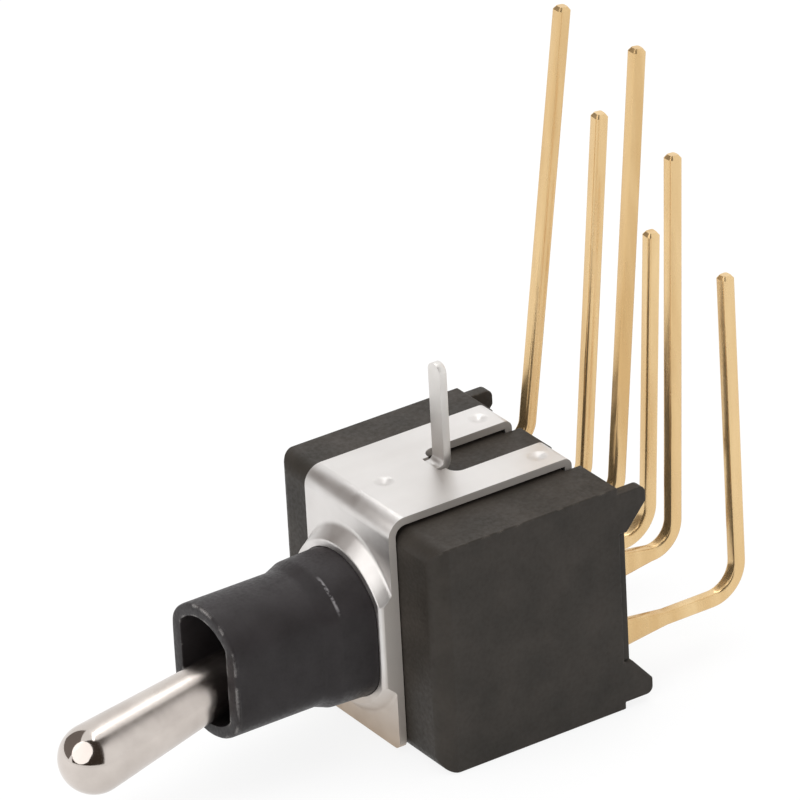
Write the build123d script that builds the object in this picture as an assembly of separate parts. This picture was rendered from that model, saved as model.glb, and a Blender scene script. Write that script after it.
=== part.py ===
from build123d import *
from math import acos, atan2, cos, degrees, hypot, radians, sin, sqrt, tan
import os

# Miniature double-pole toggle switch with long right-angle board terminals.
# Millimetres. X runs across the switch, Y from the lever back to the
# terminals, Z up along the terminal legs. The origin is on the sleeve's axis,
# in the front face of the mounting frame.

# ---- board grid
PITCH = 2.54                 # between terminal rows, and half the column spacing
ROWS = {"top": PITCH, "middle": 0.0, "bottom": -PITCH}
SIDES = {"left": -1, "right": 1}

# ---- clearances, each on one side
SLIDE_FIT = 0.02             # plastic or metal parts put together by hand
RUN_FIT = 0.05               # turning and sliding pieces
PRESS_LINE = 0.01            # parts held tight
THROUGH = 1.0                # how far a cut runs on past the face it opens

# ---- lever
PIVOT_Y = -2.45
THROW = 24.4                 # from one end position to the other, degrees
REST_TILT = THROW / 2        # at rest the lever points down by half the throw
TIP_R = 1.17
TIP_AT = 7.67                # centre of the round end, from the pivot
LEVER_TAPER = 3.0            # half angle, wider towards the tip
BALL_R = 1.275
STEM_R = 0.6
STEM_END = 5.2               # back end of the stem, from the pivot
PIN_R = 0.4

# ---- case: a chamber round the contacts, with walls out to these sizes
CASE_HALF_X = 4.54
CASE_HALF_Z = 4.06
CASE_DEPTH = 7.12
CASE_ROUND = 0.62            # all round the front
FRONT_WALL = 0.8
PLATE_GAP = 0.03             # between the frame's front plate and the case
ARM_GAP = 0.1                # between the frame's arm and the case
CHAMBER_SIDE = 0.24          # beside the contacts
CHAMBER_ABOVE = 0.18         # above the top terminals
FOOT_WIDTH = 0.45
FOOT_BACK = 1.08             # behind the case
FOOT_ROOT = 2.35             # inner edge of a foot at its root, from the axis
FOOT_TIP = 3.26              # inner edge at its tip
FOOT_SET_IN = 0.25           # outer edge, in from the top of the case
FOOT_STRAIGHT = 0.3          # level part of the inner edge
FOOT_ROUND = 0.12            # inner corner of the tip
FOOT_TOP_ROUND = 0.25        # outer corner of the tip

# ---- mounting frame, bent from one strip
SHEET = 0.27
STRIP_HALF = 2.42
FRONT_BEND = 0.65            # outer radius
REAR_BEND = 0.3              # outer radius
PLATE_UP = 0.18              # front plate's lower end, above the underside of the case
PLATE_ROUND = 0.3            # its lower corners
PRONG_SUNK = 0.3             # outside of a bent-down prong, in from the back of the case
PRONG_OVER = 0.05            # from the prong's end to the chamber
SLOT_HALF = 0.95
SLOT_START = 3.55
SLOT_CORNER = 0.4
NOTCH_HALF = 0.5
NOTCH_START = 3.3
TONGUE_HALF = 0.335
TONGUE_FRONT = 3.6
TONGUE_BEND = 0.2            # inner radius at its root
TONGUE_HEIGHT = 3.54         # above the arm
TONGUE_ROUND = 0.3
DIMPLE_R = 0.38              # at the sheet's surface
DIMPLE_FLOOR_R = 0.2
DIMPLE_FRONT = 1.5
DIMPLE_REAR = 6.3
COLLAR_OUT = 0.47            # drawn collar, forward of the front face
COLLAR_WALL = 0.2
COLLAR_FLARE = 0.65          # how much wider the root is than the rim

# ---- sleeve
SLEEVE_R = 2.53
SHOULDER_DRAFT = 0.05
SHOULDER_Y = -1.8
NOSE_STEP = 0.25             # nose, smaller than the root of the sleeve
NOSE_FLAT_STEP = 0.32
NOSE_START = -2.3
MOUTH_Y = -5.65
MOUTH_WALL = 0.43
MOUTH_SIDE_WALL = 0.55
MOUTH_FLOOR = -3.6
MOUTH_CHAMFER = 0.1
LIP_R = 1.2
FLANGE_LIP = 0.47
FLANGE_THICK = 0.2
GASKET_THICK = 0.12
GROOVE_WALL = 0.23           # left outside the pin's grooves
RETAINER_WALL = 0.16         # left outside the retainer
RETAINER_BACK = 1.0
RETAINER_NECK = 1.0          # bore at its narrowest
RETAINER_NECK_AT = 0.95      # behind the pivot
RETAINER_EDGE = 0.25         # wall at its back end
SEAL_SECTION = 0.25          # half the ring's section, each way
SEAL_CHAMFER = 0.14
SEAL_OVER_BALL = 0.13        # centre of the section, outside the ball's radius
SEAL_Y = -3.15

# ---- terminal base
BASE_DEPTH = 1.92            # inside the case
BASE_PLATE = 0.24            # behind the case
BASE_WIDE_Z = 2.3
BASE_INSET = 0.1             # wide plate, in from the sides of the case
BASE_RIM = 0.35              # beside the resin
BASE_RIM_Z = 0.12            # above and below the resin
POT_SIDE = 0.37              # resin beside the terminals
POT_ABOVE = 0.06
POT_DEEP = 0.22
POT_DOWN = 0.08              # resin's face, below the base's face

# ---- terminals: square wire bent up behind the base
WIRE = 0.48
WIRE_EDGE = 0.09             # chamfer along its corners
BLADE_HALF = 0.48            # half height of the wide root
BLADE_END = {"top": 8.5, "middle": 8.5, "bottom": 8.6}
TAPER_END = {"top": 8.9, "middle": 9.9, "bottom": 10.4}
LEG_AT = {"top": 8.7, "middle": 10.86, "bottom": 13.38}
LEG_LEAN = {"top": 6.9, "middle": 3.9, "bottom": 1.4}
LEG_SPLAY = {"top": 1.8, "middle": 2.2, "bottom": 2.5}
LEG_TOP = {"top": 17.75, "middle": 13.61, "bottom": 8.74}
LEG_BEND = {"top": 0.75, "middle": 1.0, "bottom": 1.15}
TIP_CHAMFER = 0.08

# ---- contacts
REACH = 6.0                  # centre of the plunger's nose, from the lever's pivot
PLUNGER_TIP_R = 0.4          # radius of the domed nose
PLUNGER_NOSE_R = 0.28
PLUNGER_R = 0.55
PLUNGER_BACK = 5.2
PLUNGER_SHOULDER = 5.95
ROCKER_BEHIND = 0.32         # hinge line behind the plunger's centre position
ROCKER_TILT = 6.0
ROCKER_DISH = 12.9
ROCKER_HALF_X = 0.7
ROCKER_INNER = 0.15
ROCKER_THICK = 0.35
ROCKER_ARM = 2.6
BOSS_R = 0.77
BOSS_HALF = 0.45
CRADLE_FRONT = 0.62          # behind the hinge line
CRADLE_DEEP = 0.5
CRADLE_HALF_Z = 0.7
EAR_THICK = 0.195
HEAD_HALF_X = 0.6
HEAD_DEEP = 0.7
HEAD_GAP = 0.275             # contact heads, behind the hinge line
SPRING_WIRE = 0.12           # square section
SPRING_R = 0.4
SPRING_TURNS = 2.5

# ---- actuator
ACTUATOR_FRONT = 4.45
ACTUATOR_BACK = 5.75
ACTUATOR_WALL = 0.235        # outside the plunger bores
ACTUATOR_HALF_Z = 0.9
ACTUATOR_CHAMFER = 0.15
BORE_FLOOR = 4.65

# ---- sizes that follow from those above
CASE_FRONT = SHEET + PLATE_GAP
CASE_BACK = CASE_FRONT + CASE_DEPTH
EAR_HALF_X = ROCKER_HALF_X + RUN_FIT / 2 + EAR_THICK
CHAMBER_X = PITCH + EAR_HALF_X + CHAMBER_SIDE
CHAMBER_Z = PITCH + BLADE_HALF + CHAMBER_ABOVE
FRAME_TOP = CASE_HALF_Z + ARM_GAP + SHEET
PLATE_END = CASE_HALF_Z - PLATE_UP
LEG_BACK = CASE_BACK - PRONG_SUNK
LEG_END = CHAMBER_Z + PRONG_OVER
DIMPLE_DEPTH = ARM_GAP - SLIDE_FIT
SLEEVE_FLAT = STRIP_HALF - COLLAR_WALL - SLIDE_FIT
COLLAR_RIM_R = SLEEVE_R + SLIDE_FIT + COLLAR_WALL
COLLAR_ROOT_R = COLLAR_RIM_R + COLLAR_FLARE
NOSE_R = SLEEVE_R - NOSE_STEP
NOSE_FLAT = SLEEVE_FLAT - NOSE_FLAT_STEP
MOUTH_R = NOSE_R - MOUTH_WALL
MOUTH_FLAT = NOSE_FLAT - MOUTH_SIDE_WALL
FLANGE_R = SLEEVE_R + FLANGE_LIP
FLANGE_FRONT = CASE_FRONT + FRONT_WALL + GASKET_THICK
FLANGE_BACK = FLANGE_FRONT + FLANGE_THICK
GROOVE_HALF = NOSE_FLAT - GROOVE_WALL
RETAINER_FRONT = PIVOT_Y + PIN_R + SLIDE_FIT
RETAINER_R = NOSE_FLAT - RETAINER_WALL - SLIDE_FIT
SEAL_RING_R = BALL_R + SEAL_OVER_BALL
BASE_FACE = CASE_BACK + PRESS_LINE
BASE_FRONT = BASE_FACE - BASE_DEPTH
BASE_BACK = BASE_FACE + BASE_PLATE
POT_HALF_X = PITCH + WIRE / 2 + POT_SIDE
POT_HALF_Z = PITCH + BLADE_HALF + POT_ABOVE
POT_FLOOR = BASE_BACK - POT_DEEP
BASE_TALL_X = POT_HALF_X + BASE_RIM
BASE_TALL_Z = POT_HALF_Z + BASE_RIM_Z
BASE_WIDE_X = CASE_HALF_X - BASE_INSET
HINGE_Y = PIVOT_Y + REACH + ROCKER_BEHIND
HEAD_FRONT = HINGE_Y + HEAD_GAP
BLADE_FRONT = HINGE_Y + CRADLE_FRONT + CRADLE_DEEP / 2
ACTUATOR_HALF_X = PITCH + PLUNGER_R + RUN_FIT / 2 + ACTUATOR_WALL


def save(solid, name):
    export_step(solid, f"parts/{name}.step")


def across(outline, y_from, y_to):
    """Extrude an X-Z outline from y_from back to y_to."""
    return extrude(Plane.XZ.offset(-y_from) * outline, amount=y_from - y_to)


def along_x(outline, half):
    """Extrude a Y-Z outline to both sides of the middle plane."""
    return extrude(Plane.YZ * outline, amount=half, both=True)


def block(x_half, y_from, y_to, z_half):
    return across(Rectangle(2 * x_half, 2 * z_half), y_from, y_to)


def rod_y(radius, y_from, y_to):
    return across(Circle(radius), y_from, y_to)


def rod_x(radius, length, y):
    return Pos(0, y, 0) * Rot(0, 90, 0) * Cylinder(radius, length)


def flatted(radius, half_flat):
    """A circle with both sides cut flat."""
    return Circle(radius) & Rectangle(2 * half_flat, 4 * radius)


def with_lever(shape):
    """Put a piece drawn along the lever's own line at its rest tilt."""
    return Pos(0, PIVOT_Y, 0) * Rot(REST_TILT, 0, 0) * shape


def corner(y, z, sketch):
    """The outline's corner nearest a Y-Z point."""
    return min(sketch.vertices(), key=lambda v: hypot(v.X - y, v.Y - z))


# ------------------------------------------------------------------ lever
def toggle_lever():
    """Turned bat lever: round tip, tapered shank, ball and straight stem."""
    slope = tan(radians(LEVER_TAPER))
    tip = CenterArc((0, -TIP_AT), TIP_R, -90, 90 + LEVER_TAPER)
    tip_end = tip @ 1
    root_r = tip_end.X - slope * abs(tip_end.Y)
    a, b, c = 1 + slope**2, 2 * root_r * slope, root_r**2 - BALL_R**2
    neck = (-b + sqrt(b * b - 4 * a * c)) / (2 * a)
    neck_r = root_r + slope * neck
    stem_y = sqrt(BALL_R**2 - STEM_R**2)
    low = -degrees(atan2(neck, neck_r))
    high = degrees(atan2(stem_y, STEM_R))
    ball = CenterArc((0, 0), BALL_R, low, high - low)
    shank = Line(tip_end, ball @ 0)
    stem = Polyline(ball @ 1, (STEM_R, STEM_END), (0, STEM_END), (0, -TIP_AT - TIP_R))
    body = revolve(make_face([tip, shank, ball, stem]), Axis.Y)
    return with_lever(body - rod_x(PIN_R + RUN_FIT, 3 * BALL_R, 0))


def actuator():
    """Plastic block on the stem; a bore each side holds spring and plunger."""
    body = block(ACTUATOR_HALF_X, ACTUATOR_FRONT, ACTUATOR_BACK, ACTUATOR_HALF_Z)
    body = chamfer(body.edges().filter_by(Axis.X), ACTUATOR_CHAMFER)
    body -= rod_y(STEM_R + PRESS_LINE, ACTUATOR_FRONT - THROUGH, STEM_END + SLIDE_FIT)
    for side in SIDES.values():
        bore = rod_y(PLUNGER_R + RUN_FIT / 2, BORE_FLOOR, ACTUATOR_BACK + THROUGH)
        body -= Pos(side * PITCH, 0, 0) * bore
    return with_lever(body)


def plunger(side):
    """Metal plunger with a domed nose that slides over the rocker."""
    edge = degrees(acos(PLUNGER_NOSE_R / PLUNGER_TIP_R))
    dome = CenterArc((0, REACH), PLUNGER_TIP_R, edge, 90 - edge)
    rest = Polyline(
        dome @ 1,
        (0, PLUNGER_BACK),
        (PLUNGER_R, PLUNGER_BACK),
        (PLUNGER_R, PLUNGER_SHOULDER),
        (PLUNGER_NOSE_R, PLUNGER_SHOULDER),
        dome @ 0,
    )
    body = revolve(make_face([dome, rest]), Axis.Y)
    return with_lever(Pos(side * PITCH, 0, 0) * body)


def plunger_spring(side):
    """Coil spring between the bore's floor and the plunger."""
    room = PLUNGER_BACK - BORE_FLOOR - SPRING_WIRE - 4 * PRESS_LINE
    path = Helix(room / SPRING_TURNS, room, SPRING_R)
    start_plane = Plane(path @ 0, x_dir=(1, 0, 0), z_dir=path % 0)
    section = start_plane * Rectangle(SPRING_WIRE, SPRING_WIRE)
    coil = Rot(-90, 0, 0) * sweep(section, path, is_frenet=True)
    start = BORE_FLOOR + SPRING_WIRE / 2 + 2 * PRESS_LINE
    return with_lever(Pos(side * PITCH, start, 0) * coil)


# ----------------------------------------------------------------- sleeve
def sleeve_outside():
    """Round plastic sleeve, flat on both sides, stepped down at a shoulder."""
    stations = (
        (FLANGE_FRONT, SLEEVE_R, SLEEVE_FLAT),
        (-COLLAR_OUT, SLEEVE_R, SLEEVE_FLAT),
        (SHOULDER_Y, SLEEVE_R - SHOULDER_DRAFT, SLEEVE_FLAT - SHOULDER_DRAFT),
        (NOSE_START, NOSE_R, NOSE_FLAT),
        (MOUTH_Y, NOSE_R, NOSE_FLAT),
    )
    faces = [Plane.XZ.offset(-y) * flatted(r, flat) for y, r, flat in stations]
    body = loft(faces, ruled=True)
    mouth = body.faces().sort_by(Axis.Y)[0]
    return chamfer(mouth.edges(), MOUTH_CHAMFER)


def bushing_sleeve():
    """Sleeve with its flange; inside are the mouth, seal groove, ball seat and bore."""
    body = sleeve_outside() + rod_y(FLANGE_R, FLANGE_FRONT, FLANGE_BACK)
    groove = SEAL_SECTION + PRESS_LINE
    body -= across(flatted(MOUTH_R, MOUTH_FLAT), MOUTH_Y - THROUGH, MOUTH_FLOOR)
    body -= rod_y(LIP_R, MOUTH_Y, SEAL_Y)
    body -= rod_y(SEAL_RING_R + groove, SEAL_Y - groove, SEAL_Y + groove)
    body -= rod_y(BALL_R + RUN_FIT, SEAL_Y, RETAINER_FRONT)
    body -= rod_y(RETAINER_R + SLIDE_FIT, RETAINER_FRONT, FLANGE_BACK + THROUGH)
    body -= rod_x(PIN_R + SLIDE_FIT, 2 * GROOVE_HALF, PIVOT_Y)
    return body - block(GROOVE_HALF, PIVOT_Y, RETAINER_FRONT, PIN_R + SLIDE_FIT)


def pivot_pin():
    """Plain pin through the ball, lying in the sleeve's two grooves."""
    return rod_x(PIN_R, 2 * (GROOVE_HALF - RUN_FIT), PIVOT_Y)


def ball_seal():
    """Rubber ring that wipes the lever's ball."""
    section = Rectangle(2 * SEAL_SECTION, 2 * SEAL_SECTION)
    section = chamfer(section.vertices(), SEAL_CHAMFER)
    return revolve(Pos(SEAL_RING_R, SEAL_Y) * section, Axis.Y)


def pivot_retainer():
    """Plastic ring pushed in from behind; it keeps the pin in its grooves."""
    outline = Polyline(
        (BALL_R + RUN_FIT, RETAINER_FRONT),
        (RETAINER_R, RETAINER_FRONT),
        (RETAINER_R, RETAINER_BACK),
        (RETAINER_R - RETAINER_EDGE, RETAINER_BACK),
        (RETAINER_NECK, PIVOT_Y + RETAINER_NECK_AT),
        close=True,
    )
    return revolve(make_face(outline), Axis.Y)


# ---------------------------------------------------------- mounting frame
def frame_strip():
    """The strip bent over the case, seen from the side."""
    inside = FRAME_TOP - SHEET
    leg_front = LEG_BACK - SHEET
    outline = make_face(
        Polyline(
            (0, -PLATE_END),
            (0, FRAME_TOP),
            (LEG_BACK, FRAME_TOP),
            (LEG_BACK, LEG_END),
            (leg_front, LEG_END),
            (leg_front, inside),
            (SHEET, inside),
            (SHEET, -PLATE_END),
            close=True,
        )
    )
    bends = (
        (0, FRAME_TOP, FRONT_BEND),
        (SHEET, inside, FRONT_BEND - SHEET),
        (LEG_BACK, FRAME_TOP, REAR_BEND),
        (leg_front, inside, REAR_BEND - SHEET),
    )
    for y, z, radius in bends:
        outline = fillet(corner(y, z, outline), radius)
    body = along_x(outline, STRIP_HALF)
    low_corners = body.edges().filter_by(Axis.Y).group_by(Axis.Z)[0]
    return fillet(low_corners, PLATE_ROUND)


def frame_collar():
    """Drawn collar round the sleeve, cut off level with the strip's edges."""
    root = COLLAR_ROOT_R
    rise = root - COLLAR_RIM_R
    radius = (rise**2 + COLLAR_OUT**2) / (2 * COLLAR_OUT)
    turn = degrees(atan2(rise, radius - COLLAR_OUT))
    flare = CenterArc((root, -radius), radius, 90, turn)
    rim = Polyline(flare @ 1, (0, -COLLAR_OUT), (0, SHEET), (root, SHEET), flare @ 0)
    body = revolve(make_face([flare, rim]), Axis.Y)
    return body & Box(2 * STRIP_HALF, 4 * COLLAR_OUT, 4 * root)


def tongue():
    """Solder pin: a tongue cut from the arm and bent straight up."""
    back = TONGUE_FRONT + SHEET
    top_z = FRAME_TOP + TONGUE_HEIGHT
    middle = (TONGUE_FRONT - TONGUE_BEND, FRAME_TOP + TONGUE_BEND)
    inner = CenterArc(middle, TONGUE_BEND, -90, 90)
    outer = CenterArc(middle, TONGUE_BEND + SHEET, -90, 90)
    top = Polyline(inner @ 1, (TONGUE_FRONT, top_z), (back, top_z), outer @ 1)
    root_y = NOTCH_START - SHEET
    foot_line = Polyline(
        inner @ 0, (root_y, FRAME_TOP), (root_y, FRAME_TOP - SHEET), outer @ 0
    )
    body = along_x(make_face([inner, top, outer, foot_line]), TONGUE_HALF)
    tip = body.edges().filter_by(Axis.Y).group_by(Axis.Z)[-1]
    return fillet(tip, TONGUE_ROUND)


def dimple(arm, x, y):
    """Press one small dent into the arm, with its bump underneath."""
    cup = Cone(DIMPLE_FLOOR_R, DIMPLE_R, DIMPLE_DEPTH)
    top_z = FRAME_TOP - DIMPLE_DEPTH / 2
    arm += Pos(x, y, top_z - SHEET) * cup
    return arm - Pos(x, y, top_z) * cup


def arm_slot():
    """Opening between the two prongs of the arm."""
    length = 2 * (LEG_BACK - SLOT_START)
    depth = FRAME_TOP - LEG_END + SHEET
    outline = RectangleRounded(2 * SLOT_HALF, length, SLOT_CORNER)
    return Pos(0, LEG_BACK, FRAME_TOP) * extrude(outline, amount=depth, both=True)


def mounting_frame():
    """Bent strip with its collar, one slotted arm with two prongs, and the tongue."""
    body = frame_strip() + frame_collar()
    hole = flatted(SLEEVE_R + SLIDE_FIT, SLEEVE_FLAT + SLIDE_FIT)
    body -= across(hole, -2 * COLLAR_OUT, 2 * SHEET)
    prong = (SLOT_HALF + STRIP_HALF) / 2
    for x, y in ((0, DIMPLE_FRONT), (-prong, DIMPLE_REAR), (prong, DIMPLE_REAR)):
        body = dimple(body, x, y)
    body -= arm_slot()
    notch = 2 * (TONGUE_FRONT - NOTCH_START)
    body -= Pos(0, TONGUE_FRONT, FRAME_TOP) * Box(2 * NOTCH_HALF, notch, 4 * SHEET)
    return body + tongue()


# ------------------------------------------------------------ case and base
def prong_notches():
    """The two openings in the case's upper wall that the prongs hook into."""
    front = LEG_BACK - SHEET - RUN_FIT
    width = STRIP_HALF - SLOT_HALF + 2 * RUN_FIT
    depth = CASE_BACK + THROUGH - front
    one = Pos(0, front + depth / 2, CASE_HALF_Z) * Box(width, depth, 2 * (CASE_HALF_Z - CHAMBER_Z))
    middle = (SLOT_HALF + STRIP_HALF) / 2
    return Pos(-middle, 0, 0) * one + Pos(middle, 0, 0) * one


def foot():
    """Standoff at a rear corner of the case."""
    tip_y = CASE_BACK + FOOT_BACK
    top = CASE_HALF_Z - FOOT_SET_IN
    outline = make_face(
        Polyline(
            (CASE_BACK, FOOT_ROOT),
            (CASE_BACK + FOOT_STRAIGHT, FOOT_ROOT),
            (tip_y, FOOT_TIP),
            (tip_y, top),
            (CASE_BACK, top),
            close=True,
        )
    )
    outline = fillet(corner(tip_y, FOOT_TIP, outline), FOOT_ROUND)
    outline = fillet(corner(tip_y, top, outline), FOOT_TOP_ROUND)
    return Pos(CASE_HALF_X - FOOT_WIDTH / 2, 0, 0) * along_x(outline, FOOT_WIDTH / 2)


def switch_case():
    """Moulded box with a rounded front edge, open at the back, holed for the sleeve."""
    body = block(CASE_HALF_X, CASE_FRONT, CASE_BACK, CASE_HALF_Z)
    front = body.faces().sort_by(Axis.Y)[0]
    body = fillet(front.edges(), CASE_ROUND)
    feet = foot() + mirror(foot(), Plane.XY)
    body += feet + mirror(feet, Plane.YZ)
    body -= block(CHAMBER_X, CASE_FRONT + FRONT_WALL, CASE_BACK + THROUGH, CHAMBER_Z)
    hole = flatted(SLEEVE_R + RUN_FIT, SLEEVE_FLAT + RUN_FIT)
    return body - across(hole, CASE_FRONT - THROUGH, FLANGE_BACK) - prong_notches()


def sleeve_gasket():
    """Rubber washer between the sleeve's flange and the case."""
    front = FLANGE_FRONT - GASKET_THICK
    body = rod_y(FLANGE_R, front, FLANGE_FRONT)
    return body - rod_y(SLEEVE_R + 2 * RUN_FIT, front - THROUGH, FLANGE_BACK)


def terminal_cuts():
    """The six slots that the terminals pass through."""
    half_x = WIRE / 2 + PRESS_LINE
    half_z = BLADE_HALF + PRESS_LINE
    slot = block(half_x, BASE_FRONT - THROUGH, BASE_BACK + THROUGH, half_z)
    spots = [Pos(side * PITCH, 0, z) for side in SIDES.values() for z in ROWS.values()]
    return [spot * slot for spot in spots]


def terminal_base():
    """Moulded plug that closes the case and carries the six terminals."""
    body = block(CHAMBER_X - SLIDE_FIT, BASE_FRONT, BASE_FACE, CHAMBER_Z - SLIDE_FIT)
    body += block(BASE_WIDE_X, BASE_FACE, BASE_BACK, BASE_WIDE_Z)
    body += block(BASE_TALL_X, BASE_FACE, BASE_BACK, BASE_TALL_Z)
    body -= block(POT_HALF_X, POT_FLOOR, BASE_BACK + THROUGH, POT_HALF_Z)
    for cut in terminal_cuts():
        body -= cut
    return body


def rear_potting():
    """Sealing resin poured round the terminals in the base's recess."""
    half_x = POT_HALF_X - PRESS_LINE
    half_z = POT_HALF_Z - PRESS_LINE
    body = block(half_x, POT_FLOOR, BASE_BACK - POT_DOWN, half_z)
    for cut in terminal_cuts():
        body -= cut
    return body


# --------------------------------------------------------------- terminals
def leg_wire(side, row):
    """Square wire: level out of the base, one bend, then up to the board."""
    lean = radians(LEG_LEAN[row])
    splay = radians(LEG_SPLAY[row])
    z = ROWS[row]
    run = Vector(0, 1, 0)
    leg = Vector(-side * sin(splay), sin(lean), cos(lean) * cos(splay)).normalized()
    bend_at = Vector(side * PITCH, LEG_AT[row], z)
    setback = LEG_BEND[row] * tan(radians(run.get_angle(leg) / 2))
    start = Vector(side * PITCH, BASE_FRONT, z)
    arc_start = bend_at - run * setback
    arc_end = bend_at + leg * setback
    tip = bend_at + leg * ((LEG_TOP[row] - z) / leg.Z)
    arc = TangentArc(arc_start, arc_end, tangent=run)
    path = Wire([Edge.make_line(start, arc_start), arc.edge(), Edge.make_line(arc_end, tip)])
    section = chamfer(Rectangle(WIRE, WIRE).vertices(), WIRE_EDGE)
    wire = sweep(Plane(start, x_dir=(1, 0, 0), z_dir=(0, 1, 0)) * section, path)
    end = wire.faces().sort_by(Axis.Z)[-1]
    return chamfer(end.edges(), TIP_CHAMFER)


def blade(row):
    """Wide root of a terminal, narrowing to the wire behind the base."""
    half = WIRE / 2
    outline = Polyline(
        (BLADE_FRONT, BLADE_HALF),
        (BLADE_END[row], BLADE_HALF),
        (TAPER_END[row], half - WIRE_EDGE),
        (TAPER_END[row], WIRE_EDGE - half),
        (BLADE_END[row], -BLADE_HALF),
        (BLADE_FRONT, -BLADE_HALF),
        close=True,
    )
    return along_x(make_face(outline), half)


def contact_head():
    return block(HEAD_HALF_X, HEAD_FRONT, HEAD_FRONT + HEAD_DEEP, BLADE_HALF)


def cradle():
    """Grooved block of a middle terminal, with an ear each side of the rocker."""
    front = HINGE_Y + CRADLE_FRONT
    back = front + CRADLE_DEEP
    body = block(EAR_HALF_X, front, back, CRADLE_HALF_Z)
    body -= rod_x(BOSS_R + RUN_FIT / 2, 4 * EAR_HALF_X, HINGE_Y)
    ear = block(EAR_HALF_X, HINGE_Y - ROCKER_INNER, BLADE_FRONT, BOSS_HALF)
    gap = ROCKER_HALF_X + RUN_FIT / 2
    seat = HINGE_Y + BOSS_R + RUN_FIT / 2
    between = block(gap, HINGE_Y - THROUGH, seat, CRADLE_HALF_Z)
    return body + (ear - between)


def terminal(side, row):
    contact = cradle() if row == "middle" else contact_head()
    root = Pos(side * PITCH, 0, ROWS[row]) * (contact + blade(row))
    return root + leg_wire(side, row)


# ----------------------------------------------------------------- rockers
def rocker_outline():
    """Dished strip with a round boss behind, seen from the side."""
    dish = radians(ROCKER_DISH)
    wing = (-sin(dish), cos(dish))
    out = (cos(dish), sin(dish))
    outer = ROCKER_INNER + ROCKER_THICK

    def point(offset, reach, sign):
        y = offset * out[0] + reach * wing[0]
        return (y, sign * (offset * out[1] + reach * wing[1]))

    back = CenterArc((0, 0), outer, -ROCKER_DISH, 2 * ROCKER_DISH)
    front = CenterArc((0, 0), ROCKER_INNER, -ROCKER_DISH, 2 * ROCKER_DISH)
    upper = Polyline(
        back @ 1, point(outer, ROCKER_ARM, 1), point(ROCKER_INNER, ROCKER_ARM, 1), front @ 1
    )
    lower = Polyline(
        back @ 0, point(outer, ROCKER_ARM, -1), point(ROCKER_INNER, ROCKER_ARM, -1), front @ 0
    )
    strip = make_face([back, upper, front, lower])
    boss_box = Pos(ROCKER_THICK + BOSS_R / 2, 0) * Rectangle(BOSS_R, 2 * BOSS_HALF)
    return strip + (Circle(BOSS_R) & boss_box)


def rocker(side):
    """Seesaw contact, tilted so that its upper arm meets the top terminal."""
    body = Rot(-ROCKER_TILT, 0, 0) * along_x(rocker_outline(), ROCKER_HALF_X)
    return Pos(side * PITCH, HINGE_Y, 0) * body


save(toggle_lever(), "toggle_lever")
save(actuator(), "actuator")
save(bushing_sleeve(), "bushing_sleeve")
save(ball_seal(), "ball_seal")
save(pivot_retainer(), "pivot_retainer")
save(pivot_pin(), "pivot_pin")
save(mounting_frame(), "mounting_frame")
save(switch_case(), "switch_case")
save(sleeve_gasket(), "sleeve_gasket")
save(terminal_base(), "terminal_base")
save(rear_potting(), "rear_potting")
for side_name, side_sign in SIDES.items():
    save(plunger(side_sign), f"plunger_{side_name}")
    save(plunger_spring(side_sign), f"spring_{side_name}")
    save(rocker(side_sign), f"rocker_{side_name}")
    for row_name in ROWS:
        save(terminal(side_sign, row_name), f"terminal_{side_name}_{row_name}")
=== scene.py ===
import math

import bmesh
import bpy
from mathutils import Matrix, Vector


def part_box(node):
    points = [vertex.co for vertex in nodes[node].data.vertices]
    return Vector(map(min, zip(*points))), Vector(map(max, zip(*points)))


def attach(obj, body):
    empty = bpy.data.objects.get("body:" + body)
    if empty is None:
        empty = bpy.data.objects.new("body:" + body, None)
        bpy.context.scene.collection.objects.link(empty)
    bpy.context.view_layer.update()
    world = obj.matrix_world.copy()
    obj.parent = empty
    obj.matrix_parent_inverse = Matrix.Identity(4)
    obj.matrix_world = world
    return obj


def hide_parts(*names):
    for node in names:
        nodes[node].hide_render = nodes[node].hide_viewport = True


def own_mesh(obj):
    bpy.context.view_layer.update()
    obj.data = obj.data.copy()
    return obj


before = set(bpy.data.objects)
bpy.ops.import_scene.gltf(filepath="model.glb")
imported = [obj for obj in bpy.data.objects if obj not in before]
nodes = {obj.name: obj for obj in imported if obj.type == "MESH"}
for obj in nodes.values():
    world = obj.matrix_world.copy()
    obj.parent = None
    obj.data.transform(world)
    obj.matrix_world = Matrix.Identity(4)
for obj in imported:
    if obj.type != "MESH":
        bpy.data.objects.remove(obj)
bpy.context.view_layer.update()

MM = 0.001

# ---------------------------------------------------------------- camera
# A long lens a quarter of a metre away, above the switch and to the right of
# its lever, rolled a few degrees.
VIEW_AZIMUTH, VIEW_ELEVATION, VIEW_ROLL = math.radians(57.45), math.radians(27.31), math.radians(-3.17)
CAMERA_AT = Vector((185.636, -116.222, 120.828)) * MM
FOCAL_LENGTH, FILM_WIDTH = 350, 36

level_right = Vector((math.cos(VIEW_AZIMUTH), math.sin(VIEW_AZIMUTH), 0))
back = Vector((
    math.sin(VIEW_AZIMUTH) * math.cos(VIEW_ELEVATION),
    -math.cos(VIEW_AZIMUTH) * math.cos(VIEW_ELEVATION),
    math.sin(VIEW_ELEVATION),
))
level_up = back.cross(level_right)
right = math.cos(VIEW_ROLL) * level_right + math.sin(VIEW_ROLL) * level_up
up = math.cos(VIEW_ROLL) * level_up - math.sin(VIEW_ROLL) * level_right
lens = bpy.data.cameras.new("camera")
lens.lens, lens.sensor_width = FOCAL_LENGTH, FILM_WIDTH
lens.clip_start, lens.clip_end = 0.01, 5
camera = bpy.data.objects.new("camera", lens)
camera.matrix_world = Matrix.Translation(CAMERA_AT) @ Matrix((right, up, back)).transposed().to_4x4()
bpy.context.scene.collection.objects.link(camera)
bpy.context.scene.camera = camera

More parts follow.
